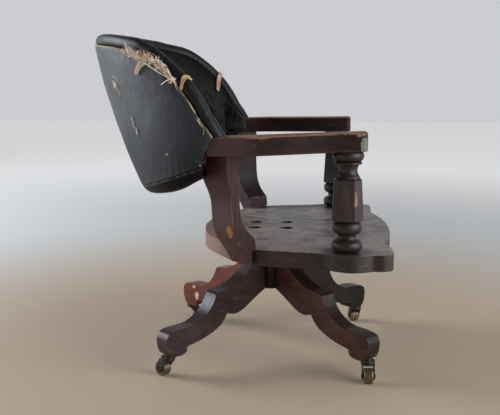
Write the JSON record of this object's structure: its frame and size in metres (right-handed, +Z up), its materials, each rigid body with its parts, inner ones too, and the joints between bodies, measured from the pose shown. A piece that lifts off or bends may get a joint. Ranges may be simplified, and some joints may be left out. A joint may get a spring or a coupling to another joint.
{
  "type": "swivel office chair",
  "caption": "Low wooden swivel office chair with a padded leathercloth tub back, turned arm posts, cabriole legs on casters and a screw-adjusted seat.",
  "frame": {"origin": "on the floor under the swivel axis, at the level of the wheels' lowest points", "axes": "+Z up; the chair faces -Y; +X is towards the sitter's left arm"},
  "size_m": [0.709, 0.6322, 0.694],
  "materials": {
    "dark_wood": "satin",
    "red_wood": "satin",
    "frame_wood": "matte",
    "dark_iron": "satin",
    "aged_brass": "satin",
    "leathercloth": "satin",
    "tufted_cloth": "satin",
    "hessian": "matte",
    "horsehair": "matte"
  },
  "bodies": {
    "base": {"hub_block": "dark_wood", "hub_bush": "dark_iron", "hub_bush_screws": "dark_iron", "leg_front_left": "dark_wood", "leg_front_right": "dark_wood", "leg_rear_left": "red_wood", "leg_rear_right": "red_wood", "leg_dowels": "red_wood", "caster_sockets": "aged_brass"},
    "caster_front_left": {"caster_fork_front_left": "dark_iron", "caster_axle_front_left": "dark_iron"},
    "wheel_front_left": {"caster_wheel_front_left": "aged_brass"},
    "caster_front_right": {"caster_fork_front_right": "dark_iron", "caster_axle_front_right": "dark_iron"},
    "wheel_front_right": {"caster_wheel_front_right": "aged_brass"},
    "caster_rear_left": {"caster_fork_rear_left": "dark_iron", "caster_axle_rear_left": "dark_iron"},
    "wheel_rear_left": {"caster_wheel_rear_left": "aged_brass"},
    "caster_rear_right": {"caster_fork_rear_right": "dark_iron", "caster_axle_rear_right": "dark_iron"},
    "wheel_rear_right": {"caster_wheel_rear_right": "aged_brass"},
    "nut": {"height_nut": "dark_iron"},
    "spindle": {"spindle": "dark_iron", "spindle_washer": "aged_brass", "spindle_top_nut": "dark_iron"},
    "seat": {"seat_plate": "dark_iron", "seat_plate_bolts": "dark_iron", "seat_board": "dark_wood", "post_left": "dark_wood", "post_right": "dark_wood", "bracket_left": "red_wood", "bracket_right": "red_wood", "bracket_screws": "dark_iron", "arm_left": "dark_wood", "arm_right": "dark_wood", "arm_screws": "dark_iron", "back_lower_rail": "frame_wood", "back_upper_rail": "frame_wood", "back_stiles": "frame_wood", "back_front_stiles": "frame_wood", "back_hessian": "hessian", "inner_pad": "tufted_cloth", "back_buttons": "tufted_cloth", "rim_roll": "leathercloth", "outer_cover": "leathercloth", "bottom_cloth": "leathercloth", "cover_tacks": "aged_brass", "seam_stuffing": "horsehair"}
  },
  "joints": [
    {"name": "seat_height", "type": "slide", "parent": "base", "child": "spindle", "axis": [0, 0, 1], "range_m": [0, 0.036]},
    {"name": "nut_turn", "type": "hinge", "parent": "base", "child": "nut", "pos_m": [0, 0, 0.234], "axis": [0, 0, 1], "range_deg": [0, 2160]},
    {"name": "seat_swivel", "type": "hinge", "parent": "spindle", "child": "seat", "pos_m": [0, 0, 0.245], "axis": [0, 0, 1], "continuous": true},
    {"name": "caster_swivel_front_left", "type": "hinge", "parent": "base", "child": "caster_front_left", "pos_m": [0.20435, -0.20435, 0.04], "axis": [0, 0, 1], "continuous": true},
    {"name": "wheel_roll_front_left", "type": "hinge", "parent": "caster_front_left", "child": "wheel_front_left", "pos_m": [0.21913, -0.20175, 0.0155], "axis": [-0.1736, 0.9848, 0], "continuous": true},
    {"name": "caster_swivel_front_right", "type": "hinge", "parent": "base", "child": "caster_front_right", "pos_m": [-0.20435, -0.20435, 0.04], "axis": [0, 0, 1], "continuous": true},
    {"name": "wheel_roll_front_right", "type": "hinge", "parent": "caster_front_right", "child": "wheel_front_right", "pos_m": [-0.21935, -0.20435, 0.0155], "axis": [0, -1, 0], "continuous": true},
    {"name": "caster_swivel_rear_left", "type": "hinge", "parent": "base", "child": "caster_rear_left", "pos_m": [0.20435, 0.20435, 0.04], "axis": [0, 0, 1], "continuous": true},
    {"name": "wheel_roll_rear_left", "type": "hinge", "parent": "caster_rear_left", "child": "wheel_rear_left", "pos_m": [0.20824, 0.18987, 0.0155], "axis": [0.9659, 0.2588, 0], "continuous": true},
    {"name": "caster_swivel_rear_right", "type": "hinge", "parent": "base", "child": "caster_rear_right", "pos_m": [-0.20435, 0.20435, 0.04], "axis": [0, 0, 1], "continuous": true},
    {"name": "wheel_roll_rear_right", "type": "hinge", "parent": "caster_rear_right", "child": "wheel_rear_right", "pos_m": [-0.19512, 0.21617, 0.0155], "axis": [-0.788, 0.6157, 0], "continuous": true}
  ],
  "couplings": [
    {"joint": "nut_turn", "follows": "seat_height", "rad_per_m": 1047.2}
  ]
}
